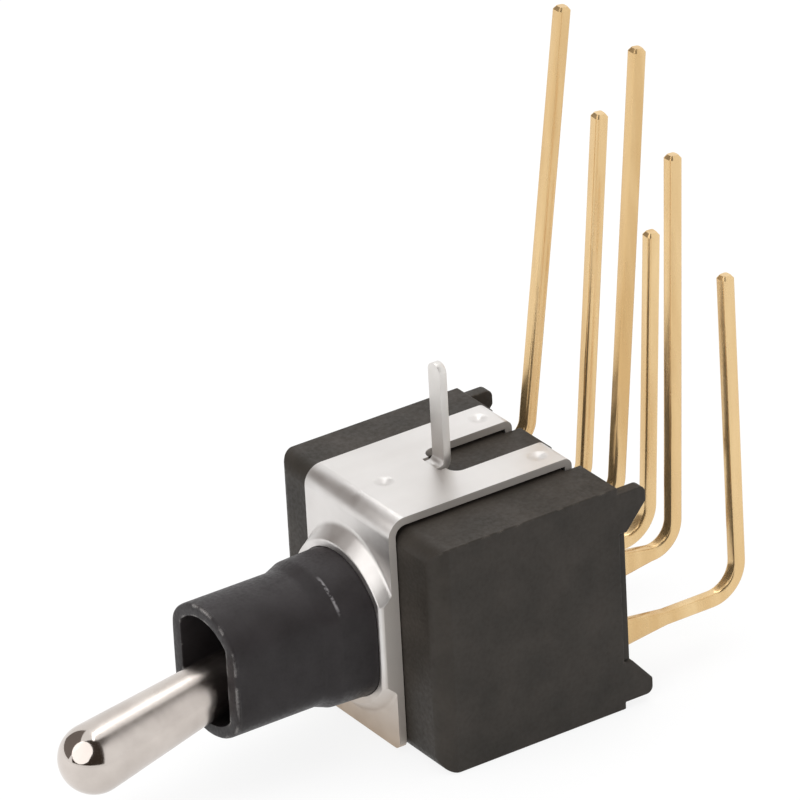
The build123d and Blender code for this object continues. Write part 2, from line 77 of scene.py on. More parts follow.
# ---------------------------------------------------------------- studio
# White paper round the switch, broad light from above, a narrow strip lamp
# there for the lever's long highlight and a round one in front, and dark
# screens on the camera's side, which the bright metal shows in its middle.
bpy.context.scene.view_settings.view_transform = "Standard"
WHITE = (1, 1, 1)
AIR_STRENGTH = 0.5


def keep(mesh, name=None):
    """Put a finished mesh into the scene, under its own name unless one is given."""
    piece = bpy.data.objects.new(name or mesh.name, mesh)
    bpy.context.scene.collection.objects.link(piece)
    return piece


def feed(tree, socket, value):
    """Give a socket its value, which is another socket, a number or a colour."""
    if hasattr(value, "is_linked"):
        tree.links.new(value, socket)
    else:
        socket.default_value = (*value, 1) if isinstance(value, tuple) else value


def maths(tree, operation, *values):
    """The result of one sum on sockets or numbers."""
    node = tree.nodes.new("ShaderNodeMath")
    node.operation = operation
    for socket, value in zip(node.inputs, values):
        feed(tree, socket, value)
    return node.outputs[0]


def glow(tree, colour, strength=1.0, kind="ShaderNodeEmission"):
    """A shader that gives off one colour of light."""
    light = tree.nodes.new(kind)
    feed(tree, light.inputs["Color"], colour)
    feed(tree, light.inputs["Strength"], strength)
    return light


def shown_as(tree, plain, shown, end):
    """Let camera, glossy and transmission rays meet one shader, all others a plain one."""
    path = tree.nodes.new("ShaderNodeLightPath")
    direct = maths(tree, "MAXIMUM", path.outputs["Is Camera Ray"], path.outputs["Is Glossy Ray"])
    mix = tree.nodes.new("ShaderNodeMixShader")
    feed(tree, mix.inputs[0], maths(tree, "MAXIMUM", direct, path.outputs["Is Transmission Ray"]))
    feed(tree, mix.inputs[1], plain.outputs[0])
    feed(tree, mix.inputs[2], shown.outputs[0])
    feed(tree, tree.nodes[end].inputs["Surface"], mix.outputs[0])


world = bpy.data.worlds.new("studio")
world.use_nodes = True
world_tree = world.node_tree
air = world_tree.nodes["Background"]
feed(world_tree, air.inputs["Color"], WHITE)
feed(world_tree, air.inputs["Strength"], AIR_STRENGTH)
shown_as(world_tree, air, glow(world_tree, WHITE, 1.0, "ShaderNodeBackground"), "World Output")
bpy.context.scene.world = world


def facing(at, aim):
    """Where a lamp or a sheet stands, given in millimetres, turned to face a point."""
    place = Vector(at) * MM
    turn = (place - Vector(aim) * MM).to_track_quat("Z", "Y")
    return Matrix.Translation(place) @ turn.to_matrix().to_4x4()


def soft_box(name, at, size, power, aim=(0, 4, 0), shape="RECTANGLE"):
    """A lamp with a broad face; place, size and aim are in millimetres."""
    lamp = bpy.data.lights.new(name, "AREA")
    lamp.shape, lamp.size, lamp.size_y = shape, size[0] * MM, size[1] * MM
    lamp.energy = power
    box = bpy.data.objects.new(name, lamp)
    box.matrix_world = facing(at, aim)
    bpy.context.scene.collection.objects.link(box)
    return box


soft_box("ceiling", (-50, 40, 190), (220, 220), 0.30).visible_glossy = False
soft_box("strip_lamp", (-64, 36, 186), (18, 200), 0.030)
soft_box("round_lamp", (17, -104, 80), (170, 170), 0.11, (0, -10, -2), "DISK")


def screen(name, at, size, colour, aim=(0, 0, 0)):
    """A plain sheet that only shiny surfaces show; it casts no shadow."""
    bm = bmesh.new()
    spread = Matrix.Diagonal((size[0] / 2 * MM, size[1] / 2 * MM, 1, 1))
    bmesh.ops.create_grid(bm, x_segments=1, y_segments=1, size=1, matrix=facing(at, aim) @ spread)
    mesh = bpy.data.meshes.new(name)
    bm.to_mesh(mesh)
    bm.free()
    sheet = keep(mesh)
    cloth = bpy.data.materials.new(name)
    cloth.use_nodes = True
    tree = cloth.node_tree
    feed(tree, tree.nodes["Material Output"].inputs["Surface"], glow(tree, colour).outputs[0])
    mesh.materials.append(cloth)
    sheet.visible_camera = sheet.visible_diffuse = sheet.visible_shadow = False


screen("front_screen", (-11, -178, 158), (505, 320), (0.05, 0.038, 0.030), (-86, -130, 112))
screen("left_screen", (-160, -112, 115), (280, 230), (0.21, 0.185, 0.17))

# ---------------------------------------------------------------- lever
# Bat lever turned from brass and plated with bright nickel: a round tip, a
# tapered shank and a ball, with a straight stem behind it that carries the
# actuator. The ball turns on a pin in the sleeve.
PIVOT_Y = -2.45
REST_TILT = math.radians(12.2)
TIP_R, TIP_AT, LEVER_TAPER = 1.165, 7.67, math.radians(3.0)
BALL_R, STEM_R, STEM_END, STEM_EDGE = 1.27, 0.597, 5.195, 0.05
TIP_STEPS, SHANK_STEPS, BALL_STEPS = 28, 24, 40
POLISH_FADE = (-10.6, -9.4)
PIN_BORE_R, PIN_BORE_HALF = 0.45, 3
GRAIN_DEPTH = 0.00002


def mesh_of(bm, name, merge=True):
    """Close up a bmesh as a mesh with its faces turned outwards."""
    if merge:
        bmesh.ops.remove_doubles(bm, verts=bm.verts, dist=1e-7)
    bmesh.ops.recalc_face_normals(bm, faces=bm.faces)
    mesh = bpy.data.meshes.new(name)
    bm.to_mesh(mesh)
    bm.free()
    return mesh


def lathe(profile, name, steps=128):
    """Turn a (radius, y) profile round the Y axis; ends on the axis are closed."""
    bm = bmesh.new()
    rings = []
    for radius, y in profile:
        if radius < 1e-6:
            rings.append([bm.verts.new((0, y * MM, 0))] * steps)
            continue
        angles = [2 * math.pi * i / steps for i in range(steps)]
        ring = [(radius * math.cos(a) * MM, y * MM, radius * math.sin(a) * MM) for a in angles]
        rings.append([bm.verts.new(spot) for spot in ring])
    for one, two in zip(rings, rings[1:]):
        for i in range(steps):
            j = (i + 1) % steps
            corners = list(dict.fromkeys((one[i], one[j], two[j], two[i])))
            if len(corners) > 2:
                bm.faces.new(corners)
    return mesh_of(bm, name)


def arc(centre, radius, start, end, steps):
    """Points on an arc; 0 degrees is outwards from the axis, 90 is along +Y."""
    turns = [math.radians(start + (end - start) * i / steps) for i in range(steps + 1)]
    return [(centre[0] + radius * math.cos(a), centre[1] + radius * math.sin(a)) for a in turns]


def smooth(mesh, limit=35):
    """Shade smooth, keeping edges sharper than the limit in degrees."""
    mesh.shade_smooth()
    mesh.set_sharp_from_angle(angle=math.radians(limit))


def applied(piece):
    """Turn a piece's modifiers into plain mesh."""
    bpy.context.view_layer.update()
    graph = bpy.context.evaluated_depsgraph_get()
    mesh = bpy.data.meshes.new_from_object(piece.evaluated_get(graph))
    piece.modifiers.clear()
    piece.data = mesh


def cut(piece, tools, operation="DIFFERENCE"):
    """Cut the tools' shapes out of a piece, or join them on, and drop the tools."""
    for tool in tools:
        step = piece.modifiers.new("cut", "BOOLEAN")
        step.operation, step.solver, step.object = operation, "EXACT", tool
    applied(piece)
    for tool in tools:
        bpy.data.objects.remove(tool)


def cross_bar(radius, half_x, name, steps, at=(0, 0)):
    """A round bar that lies along X, its middle at a point (x, y)."""
    bar = lathe([(0, -half_x), (radius, -half_x), (radius, half_x), (0, half_x)], name, steps)
    bar.transform(Matrix.Translation((at[0] * MM, at[1] * MM, 0)) @ Matrix.Rotation(math.pi / 2, 4, "Z"))
    return keep(bar)


# The shank runs from the tip's edge to the point where it meets the ball.
slope = math.tan(LEVER_TAPER)
lever_profile = arc((0, -TIP_AT), TIP_R, -90, math.degrees(LEVER_TAPER), TIP_STEPS)
tip_end = lever_profile[-1]
root_r = tip_end[0] - slope * abs(tip_end[1])
a, b, c = 1 + slope**2, 2 * root_r * slope, root_r**2 - BALL_R**2
neck = (-b + math.sqrt(b * b - 4 * a * c)) / (2 * a)
neck_angle = -math.degrees(math.atan2(neck, root_r + slope * neck))
for i in range(1, SHANK_STEPS):
    y = tip_end[1] + (-neck - tip_end[1]) * i / SHANK_STEPS
    lever_profile.append((root_r - slope * y, y))
stem_start = math.degrees(math.acos(STEM_R / BALL_R))
lever_profile += arc((0, 0), BALL_R, neck_angle, stem_start, BALL_STEPS)
lever_profile += [(STEM_R, STEM_END - STEM_EDGE), (STEM_R - STEM_EDGE, STEM_END), (0, STEM_END)]
lever = keep(lathe(lever_profile, "lever"))
cut(lever, [cross_bar(PIN_BORE_R, PIN_BORE_HALF, "pin_bore", 48)])
lever.data.transform(Matrix.Translation((0, PIVOT_Y * MM, 0)) @ Matrix.Rotation(REST_TILT, 4, "X"))
smooth(lever.data)


def finish_of(name, **settings):
    """A material whose constant settings sit on the shader's own sockets."""
    material = bpy.data.materials.new(name)
    material.use_nodes = True
    shader = material.node_tree.nodes["Principled BSDF"]
    for socket, value in settings.items():
        shader.inputs[socket.replace("_", " ")].default_value = value
    return material, material.node_tree, shader


def speckle(tree, scale, detail=4.0, stretch=(1, 1, 1), turn=(0, 0, 0)):
    """Noise on the object's own coordinates; scale is in cells a metre."""
    place = tree.nodes.new("ShaderNodeTexCoord")
    mapping = tree.nodes.new("ShaderNodeMapping")
    mapping.inputs["Scale"].default_value = stretch
    mapping.inputs["Rotation"].default_value = turn
    grain = tree.nodes.new("ShaderNodeTexNoise")
    grain.inputs["Scale"].default_value = scale
    grain.inputs["Detail"].default_value = detail
    tree.links.new(place.outputs["Object"], mapping.inputs["Vector"])
    tree.links.new(mapping.outputs["Vector"], grain.inputs["Vector"])
    return grain.outputs["Fac"]


def ramp(tree, value, stops):
    """Colour ramp; stops are (position, colour) with a grey as one number."""
    node = tree.nodes.new("ShaderNodeValToRGB")
    steps = node.color_ramp.elements
    while len(steps) < len(stops):
        steps.new(0.5)
    for step, (position, colour) in zip(steps, stops):
        step.position = position
        step.color = (*colour, 1) if isinstance(colour, tuple) else (colour, colour, colour, 1)
    tree.links.new(value, node.inputs["Fac"])
    return node.outputs["Color"]


def blended(tree, factor, first, second, kind="MIX"):
    """Two colours mixed by a factor; each is a socket or a colour."""
    mix = tree.nodes.new("ShaderNodeMix")
    mix.data_type = "RGBA"
    mix.blend_type = kind
    for socket, value in zip((mix.inputs[0], mix.inputs[6], mix.inputs[7]), (factor, first, second)):
        feed(tree, socket, value)
    return mix.outputs[2]


def masked(tree, first, *others):
    """Masks multiplied together."""
    for other in others:
        first = blended(tree, 1.0, first, other, "MULTIPLY")
    return first


def rough_up(tree, shader, value, strength, roughness=None):
    """Drive the bump, and where given the roughness, from a height socket."""
    bump = tree.nodes.new("ShaderNodeBump")
    bump.inputs["Strength"].default_value = strength
    bump.inputs["Distance"].default_value = GRAIN_DEPTH
    tree.links.new(value, bump.inputs["Height"])
    tree.links.new(bump.outputs["Normal"], shader.inputs["Normal"])
    if roughness:
        tree.links.new(ramp(tree, value, roughness), shader.inputs["Roughness"])


def along(tree, axis, start, end, first=0.0, last=1.0):
    """A value that changes evenly along one of the object's axes, in millimetres."""
    place = tree.nodes.new("ShaderNodeTexCoord")
    split = tree.nodes.new("ShaderNodeSeparateXYZ")
    tree.links.new(place.outputs["Object"], split.inputs[0])
    spread = tree.nodes.new("ShaderNodeMapRange")
    limits = {"From Min": start * MM, "From Max": end * MM, "To Min": first, "To Max": last}
    for name, value in limits.items():
        spread.inputs[name].default_value = value
    tree.links.new(split.outputs[axis], spread.inputs["Value"])
    return spread.outputs["Result"]


def paint(piece, material):
    """Give a whole piece one material."""
    piece.data.materials.clear()
    piece.data.materials.append(material)


bright_nickel, tree, shader = finish_of("bright_nickel", Metallic=1.0, Roughness=0.16)
turning = speckle(tree, 2200, 3, (0.06, 1, 0.06), (-REST_TILT, 0, 0))
tarnish = speckle(tree, 420, 5)
tint = ramp(tree, tarnish, [(0.35, (0.55, 0.495, 0.455)), (0.62, (0.68, 0.62, 0.575))])
tree.links.new(tint, shader.inputs["Base Color"])
rough_up(tree, shader, turning, 0.06)
turned = ramp(tree, turning, [(0.3, 0.19), (0.7, 0.28)])
polished = along(tree, "Y", *POLISH_FADE)
tree.links.new(blended(tree, polished, (0.07, 0.07, 0.07), turned), shader.inputs["Roughness"])
paint(lever, bright_nickel)
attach(lever, "lever")
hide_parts("toggle_lever")

# ---------------------------------------------------------------- sleeve
# Black plastic sleeve that goes through the panel: round with two flat sides,
# stepped down at a shoulder, its mouth dished to let the lever swing, its
# flange held inside the case.
SLEEVE_OUTSIDE = (
    # y, radius, half width over the flats
    (1.42, 3.0, 9), (1.22, 3.0, 9), (1.22, 2.53, 2.2), (-0.47, 2.53, 2.2),
    (-1.72, 2.483, 2.153), (-1.8, 2.474, 2.143), (-1.88, 2.44, 2.10), (-2.22, 2.315, 1.927),
    (-2.3, 2.288, 1.888), (-2.4, 2.28, 1.88), (-5.52, 2.28, 1.88),
    (-5.58, 2.272, 1.872), (-5.63, 2.235, 1.835), (-5.65, 2.18, 1.78),
)
SLEEVE_INSIDE = (
    (-5.65, 1.9, 1.38), (-5.64, 1.865, 1.345), (-5.6, 1.85, 1.33), (-3.68, 1.85, 1.33),
    (-3.6, 1.78, 1.25), (-3.6, 1.2, 9), (-3.41, 1.2, 9), (-3.41, 1.665, 9), (-2.89, 1.665, 9),
    (-2.89, 1.325, 9), (-2.03, 1.325, 9), (-2.03, 1.72, 9), (1.42, 1.72, 9),
)
OUTSIDE_SOFT, INSIDE_SOFT, ROUND_SHARE = 24, 90, 0.7
GROOVE_HALF, PIN_SEAT_R = 1.65, 0.42


def flatted_ring(radius, flat, soft, steps=240):
    """Circle cut flat on both sides; the lower soft is, the rounder its corners."""
    spots = []
    for i in range(steps):
        angle = 2 * math.pi * i / steps
        side = abs(math.sin(angle))
        reach = radius
        if side * radius >= flat * ROUND_SHARE:
            reach *= (1 + (radius * side / flat) ** soft) ** (-1 / soft)
        spots.append((reach * math.sin(angle), reach * math.cos(angle)))
    return spots


def tube_mesh(stations, name, hollow=True):
    """Skin through rings of (y, radius, half flat): a tube, or a solid rod."""
    bm = bmesh.new()
    rings = []
    for place, (y, radius, flat) in enumerate(stations):
        soft = INSIDE_SOFT if hollow and place >= len(SLEEVE_OUTSIDE) else OUTSIDE_SOFT
        ring = flatted_ring(radius, flat, soft)
        rings.append([bm.verts.new((x * MM, y * MM, z * MM)) for x, z in ring])
    for one, two in zip(rings, rings[1:] + (rings[:1] if hollow else [])):
        for i in range(len(one)):
            j = (i + 1) % len(one)
            bm.faces.new((one[i], one[j], two[j], two[i]))
    if not hollow:
        bm.faces.new(rings[0])
        bm.faces.new(rings[-1])
    return mesh_of(bm, name)


sleeve = keep(tube_mesh(SLEEVE_OUTSIDE + SLEEVE_INSIDE, "sleeve"))
cut(sleeve, [cross_bar(PIN_SEAT_R, GROOVE_HALF, "groove", 32, (0, PIVOT_Y))])
smooth(sleeve.data, 30)


def worn_edges(tree, radius, low, high):
    """Mask that is bright where a rounded edge would differ from the face."""
    rounded = tree.nodes.new("ShaderNodeBevel")
    rounded.samples = 4
    rounded.inputs["Radius"].default_value = radius
    true_face = tree.nodes.new("ShaderNodeNewGeometry")
    match = tree.nodes.new("ShaderNodeVectorMath")
    match.operation = "DOT_PRODUCT"
    tree.links.new(rounded.outputs["Normal"], match.inputs[0])
    tree.links.new(true_face.outputs["Normal"], match.inputs[1])
    return ramp(tree, match.outputs["Value"], [(low, 1.0), (high, 0.0)])


sleeve_plastic, tree, shader = finish_of("sleeve_plastic", Roughness=0.5, Specular_IOR_Level=0.26)
mottle = speckle(tree, 900, 5)
tone = ramp(tree, mottle, [(0.3, (0.015, 0.012, 0.0125)), (0.75, (0.027, 0.023, 0.024))])
flecks = ramp(tree, speckle(tree, 2100, 3), [(0.46, 0.0), (0.62, 1.0)])
edge = worn_edges(tree, 0.00014, 0.93, 0.995)
worn = blended(tree, masked(tree, flecks, edge), tone, (0.30, 0.285, 0.275))
# A pale band, broken by noise, is painted part of the way round the shoulder, top right.
pale_shoulder_band = masked(
    tree,
    along(tree, "Y", -1.77, -1.72), along(tree, "Y", -1.63, -1.68),
    along(tree, "X", 0.7, 1.0), along(tree, "X", 2.0, 1.8), along(tree, "Z", 0.2, 0.8),
    ramp(tree, speckle(tree, 5000, 3), [(0.38, 0.0), (0.52, 1.0)]),
)
tree.links.new(blended(tree, pale_shoulder_band, worn, (0.20, 0.19, 0.195)), shader.inputs["Base Color"])
rough_up(tree, shader, speckle(tree, 9000, 3), 0.12, [(0.3, 0.36), (0.7, 0.56)])
paint(sleeve, sleeve_plastic)
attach(sleeve, "housing")
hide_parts("bushing_sleeve")

# ---------------------------------------------------------------- mounting frame
# One strip of tin-plated steel: a front plate with a drawn collar round the
# sleeve, and an arm over the case, slotted, with two prongs hooked down into
# the case's rear wall and a solder pin cut from it and bent up.
SHEET, STRIP_HALF, FRAME_TOP, PLATE_END, PLATE_ROUND = 0.27, 2.42, 4.43, 3.88, 0.3
FRONT_BEND, REAR_BEND, LEG_BACK, LEG_END = 0.65, 0.3, 7.12, 3.25
COLLAR_OUT, COLLAR_RIM_R, COLLAR_ROOT_R, COLLAR_SLOPE = 0.47, 2.735, 3.4, 45
RIM_ROUND, ROOT_ROUND, RIM_SIDE, SIDE_PINCH = 0.12, 0.35, 0.17, 0.15
BORE_R, BORE_FLAT = 2.55, 2.22
SLOT_HALF, SLOT_START, SLOT_CORNER = 0.95, 3.55, 0.4
NOTCH_HALF, NOTCH_START, NOTCH_END, NOTCH_CORNER = 0.5, 3.3, 4.2, 0.05
TONGUE_HALF, TONGUE_FRONT, TONGUE_BEND, TONGUE_TOP, TONGUE_ROUND = 0.335, 3.6, 0.2, 7.97, 0.3
DIMPLE_R, DIMPLE_DEPTH, DIMPLE_STEPS = 0.38, 0.08, 12
DIMPLE_FRONT_Y, DIMPLE_REAR_Y, BUMP_LID, DENT_LID = 1.5, 6.3, 0.02, 0.05
PRONG_MIDDLE = (SLOT_HALF + STRIP_HALF) / 2
FRAME_EDGE = 0.035
# The levels that the cutting tools reach, clear of the strip on every side.
PAST_FRONT, PAST_BACK, PAST_FOOT, PAST_TOP = -2, 12, -8, 20
UNDER_ARM, OVER_ARM, PAST_PIN, PAST_SIDE = 2.5, 5.5, 9, 0.5
# How far the collar and the pin sink into the strip that they are joined to.
COLLAR_SUNK, ROOT_SUNK, PIN_SUNK = 0.6 * SHEET, 0.001, 0.002


def prism(outline, low, high, name, axis=0):
    """A closed outline on the other two axes, drawn out between two levels of one."""
    one, two = [k for k in range(3) if k != axis]
    bm = bmesh.new()
    ends = []
    for level in (low, high):
        ring = []
        for first, second in outline:
            spot = [0, 0, 0]
            spot[one], spot[two], spot[axis] = first * MM, second * MM, level * MM
            ring.append(bm.verts.new(spot))
        ends.append(ring)
    count = len(outline)
    for i in range(count):
        j = (i + 1) % count
        bm.faces.new((ends[0][i], ends[0][j], ends[1][j], ends[1][i]))
    bm.faces.new(ends[0])
    bm.faces.new(ends[1][::-1])
    return mesh_of(bm, name)


def rounded_block(low, high, radius, name, axis=2, steps=10):
    """Box with the four corners that run along one axis rounded."""
    one, two = [k for k in range(3) if k != axis]
    spots = []
    for sx, sy, start in ((1, 1, 0), (-1, 1, 90), (-1, -1, 180), (1, -1, 270)):
        for i in range(steps + 1):
            turn = math.radians(start + 90 * i / steps)
            centre_one = (high[one] - radius) if sx > 0 else (low[one] + radius)
            centre_two = (high[two] - radius) if sy > 0 else (low[two] + radius)
            spots.append((centre_one + radius * math.cos(turn), centre_two + radius * math.sin(turn)))
    return keep(prism(spots, low[axis], high[axis], name, axis))


outline = [(0, -PLATE_END)]
outline += arc((FRONT_BEND, FRAME_TOP - FRONT_BEND), FRONT_BEND, 180, 90, 16)
outline += arc((LEG_BACK - REAR_BEND, FRAME_TOP - REAR_BEND), REAR_BEND, 90, 0, 14)
outline += [(LEG_BACK, LEG_END), (LEG_BACK - SHEET, LEG_END)]
outline += arc((LEG_BACK - REAR_BEND, FRAME_TOP - REAR_BEND), REAR_BEND - SHEET, 0, 90, 4)
outline += arc((FRONT_BEND, FRAME_TOP - FRONT_BEND), FRONT_BEND - SHEET, 90, 180, 12)
outline += [(SHEET, -PLATE_END)]
blank_half = STRIP_HALF + PAST_SIDE
mount = keep(prism(outline, -blank_half, blank_half, "frame"))

# The collar: a cone with a rounded root and rim, pinched towards the sides.
rise = COLLAR_ROOT_R - COLLAR_RIM_R
flare = arc((COLLAR_ROOT_R, -ROOT_ROUND), ROOT_ROUND, 90, 90 + COLLAR_SLOPE, 10)
rim = arc((COLLAR_RIM_R, RIM_ROUND - COLLAR_OUT), RIM_ROUND, COLLAR_SLOPE - 90, -90, 6)
collar_profile = [(0, COLLAR_SUNK), (COLLAR_ROOT_R, COLLAR_SUNK), (COLLAR_ROOT_R, ROOT_SUNK)]
collar_profile += flare[1:] + rim + [(0, -COLLAR_OUT)]
collar = keep(lathe(collar_profile, "collar", 160))
for spot in collar.data.vertices:
    reach = math.hypot(spot.co.x, spot.co.z) / MM
    if reach > COLLAR_RIM_R:
        spot.co.x *= 1 - SIDE_PINCH * (reach - COLLAR_RIM_R) / rise
cut(mount, [collar], "UNION")

# Trimmed level with the strip's sides, then bored, slotted and notched.
far_corner = (STRIP_HALF, PAST_BACK, PAST_TOP)
trim = rounded_block((-STRIP_HALF, PAST_FRONT, -PLATE_END), far_corner, PLATE_ROUND, "trim", 1)
side_trim = rounded_block((-STRIP_HALF, -COLLAR_OUT, PAST_FOOT), far_corner, RIM_SIDE, "side_trim", 2)
for tool in (trim, side_trim):
    cut(mount, [tool], "INTERSECT")
bore = keep(tube_mesh(((-1, BORE_R, BORE_FLAT), (1, BORE_R, BORE_FLAT)), "bore", False))
slot = rounded_block(
    (-SLOT_HALF, SLOT_START, UNDER_ARM), (SLOT_HALF, PAST_BACK, OVER_ARM), SLOT_CORNER, "slot")
notch = rounded_block(
    (-NOTCH_HALF, NOTCH_START, UNDER_ARM), (NOTCH_HALF, NOTCH_END, OVER_ARM), NOTCH_CORNER, "notch")
cut(mount, [bore, slot, notch])

# The pin, bent up out of the slot's front edge, its free end rounded.
middle = (TONGUE_FRONT - TONGUE_BEND, FRAME_TOP + TONGUE_BEND)
pin_outline = [(NOTCH_START - SHEET, FRAME_TOP - PIN_SUNK)]
pin_outline += arc(middle, TONGUE_BEND, -90, 0, 8)
pin_outline += [(TONGUE_FRONT, TONGUE_TOP), (TONGUE_FRONT + SHEET, TONGUE_TOP)]
pin_outline += arc(middle, TONGUE_BEND + SHEET, 0, -90, 12)
pin_outline += [(NOTCH_START - SHEET, FRAME_TOP - SHEET + PIN_SUNK)]
tongue = keep(prism(pin_outline, -TONGUE_HALF, TONGUE_HALF, "tongue"))
tip_cut = rounded_block(
    (-TONGUE_HALF, 0, -PAST_TOP), (TONGUE_HALF, PAST_PIN, TONGUE_TOP), TONGUE_ROUND, "tip_cut", 1)
cut(tongue, [tip_cut], "INTERSECT")
cut(mount, [tongue], "UNION")


def dished(name, x, y, top, lid):
    """One dent's shape, round with a flat floor, open at a height and closed by a lid."""
    dish = []
    for i in range(DIMPLE_STEPS + 1):
        part = i / DIMPLE_STEPS
        dish.append((DIMPLE_R * part, -DIMPLE_DEPTH * (0.5 + 0.5 * math.cos(math.pi * part))))
    dish += [(DIMPLE_R, lid), (0, lid)]
    form = lathe(dish, name, 40)
    form.transform(Matrix.Translation((0, 0, top * MM)) @ Matrix.Rotation(math.pi / 2, 4, "X"))
    form.transform(Matrix.Translation((x * MM, y * MM, 0)))
    return keep(form)


# Dents pressed into the arm, and the bumps that they raise beneath it.
bumps, dents = [], []
for x, y in ((0, DIMPLE_FRONT_Y), (-PRONG_MIDDLE, DIMPLE_REAR_Y), (PRONG_MIDDLE, DIMPLE_REAR_Y)):
    bumps.append(dished("bump", x, y, FRAME_TOP - SHEET, BUMP_LID))
    dents.append(dished("dent", x, y, FRAME_TOP, DENT_LID))
cut(mount, bumps, "UNION")
cut(mount, dents)


def soften(piece, width, steps=2, limit=32, shade=32):
    """Round a piece's sharp edges a little, as a modifier that is then applied."""
    bm = bmesh.new()
    bm.from_mesh(piece.data)
    bmesh.ops.remove_doubles(bm, verts=bm.verts, dist=2e-7)
    bmesh.ops.dissolve_limit(
        bm, angle_limit=math.radians(0.6), verts=bm.verts, edges=bm.edges, delimit=set())
    piece.data = mesh_of(bm, piece.name, False)
    edge = piece.modifiers.new("edges", "BEVEL")
    edge.width, edge.segments = width * MM, steps
    edge.limit_method, edge.angle_limit = "ANGLE", math.radians(limit)
    edge.use_clamp_overlap = True
    applied(piece)
    smooth(piece.data, shade)
    flat = piece.modifiers.new("flat", "WEIGHTED_NORMAL")
    flat.keep_sharp, flat.weight = True, 100
    applied(piece)


soften(mount, FRAME_EDGE)


def side_facing(tree):
    """How squarely a face looks to the left or right of the switch."""
    place = tree.nodes.new("ShaderNodeTexCoord")
    split = tree.nodes.new("ShaderNodeSeparateXYZ")
    tree.links.new(place.outputs["Normal"], split.inputs[0])
    return maths(tree, "ABSOLUTE", split.outputs["X"])


tin_plate, tree, shader = finish_of("tin_plate", Metallic=1.0, Roughness=0.34)
draw = speckle(tree, 1500, 4, (1, 0.08, 1))
bloom = speckle(tree, 260, 4)
tint = ramp(tree, bloom, [(0.3, (0.71, 0.685, 0.665)), (0.7, (0.80, 0.775, 0.755))])
# Painted shade: the plate turns darker and browner towards its foot, standing in for the shadowed paper
# that it reflects there.
painted_low_shade = blended(tree, along(tree, "Z", -3.9, -0.5, 0.9, 0.0), tint, (0.40, 0.30, 0.21))
# The sheared edges of the strip are bare grey steel, the pin's are plated.
sheared = masked(
    tree,
    ramp(tree, side_facing(tree), [(0.80, 0.0), (0.97, 0.8)]),
    along(tree, "Z", 4.35, 4.6, 1.0, 0.0),
)
plated = blended(tree, along(tree, "Z", 4.5, 4.8), painted_low_shade, (0.80, 0.775, 0.745))
tree.links.new(blended(tree, sheared, plated, (0.44, 0.40, 0.36)), shader.inputs["Base Color"])
tree.links.new(blended(tree, sheared, (1.0, 1.0, 1.0), (0.1, 0.1, 0.1)), shader.inputs["Metallic"])
rough_up(tree, shader, draw, 0.05, [(0.3, 0.34), (0.7, 0.48)])
paint(mount, tin_plate)
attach(mount, "housing")
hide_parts("mounting_frame")

# ---------------------------------------------------------------- case and base
# Black moulded box with a standoff at each rear corner, and the base that
# closes it: a wide plate and a tall one, with a recess for sealing resin.


def moulded(node, name, edge_width):
    """The CAD node's own shape with every moulded edge rounded."""
    piece = keep(nodes[node].data.copy(), name)
    soften(piece, edge_width, 3, 20, 30)
    return piece


case_plastic, tree, shader = finish_of("case_plastic", Roughness=0.55, Specular_IOR_Level=0.28)
mottle = speckle(tree, 700, 5)
tone = ramp(tree, mottle, [(0.3, (0.021, 0.0172, 0.013)), (0.75, (0.039, 0.032, 0.026))])
edge = worn_edges(tree, 0.0001, 0.86, 0.985)
scuff = masked(tree, ramp(tree, speckle(tree, 3000, 3), [(0.5, 0.0), (0.7, 0.8)]), edge)
tree.links.new(blended(tree, scuff, tone, (0.16, 0.14, 0.12)), shader.inputs["Base Color"])
rough_up(tree, shader, speckle(tree, 7000, 4), 0.16, [(0.3, 0.42), (0.7, 0.62)])
for node, name, width in (("switch_case", "case", 0.05), ("terminal_base", "base", 0.03)):
    moulding = moulded(node, name, width)
    paint(moulding, case_plastic)
    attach(moulding, "housing")
    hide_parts(node)

# ---------------------------------------------------------------- terminals
# Six legs of square wire, gold plated, with a wide root in the base. Each runs
# level out of the base, bends up, and leans back and inwards as delivered.
PITCH, WIRE, WIRE_EDGE, BLADE_HALF = 2.54, 0.48, 0.12, 0.48
HINGE_Y = 3.87
ROW_Z = {"top": PITCH, "middle": 0.0, "bottom": -PITCH}
LEG_AT = {"top": 8.7, "middle": 10.86, "bottom": 13.38}
LEG_LEAN = {"top": 6.9, "middle": 3.9, "bottom": 1.4}
LEG_SPLAY = {"top": 1.8, "middle": 2.2, "bottom": 2.5}
LEG_TOP = {"top": 17.75, "middle": 13.61, "bottom": 8.74}
LEG_BEND = {"top": 0.75, "middle": 1.0, "bottom": 1.15}
BLADE_FRONT, BLADE_END = 4.75, {"top": 8.5, "middle": 8.5, "bottom": 8.6}
TAPER_END = {"top": 8.9, "middle": 9.9, "bottom": 10.4}
TIP_LONG, TIP_SCALE, TIP_SHORT = 0.12, 0.62, 0.004
ROOT_STEPS, BEND_STEPS, EDGE_STEPS = 12, 14, 4
ROOT_SPREAD, BEND_SHARE = 2 * BLADE_HALF / WIRE, 0.98
HEAD_FRONT, HEAD_BACK, HEAD_HALF_X = HINGE_Y + 0.275, HINGE_Y + 0.975, 0.6
CRADLE_FRONT, CRADLE_BACK, CRADLE_NOSE = HINGE_Y + 0.62, HINGE_Y + 1.12, HINGE_Y - 0.15
EAR_HALF_X, EAR_HALF_Z, CRADLE_HALF_Z, CRADLE_ROUND = 0.92, 0.45, 0.7, 0.03
SEAT_R, GAP_HALF_X, GAP_ROUND, CUT_FRONT, CUT_REACH = 0.795, 0.725, 0.01, HINGE_Y - 1, 2


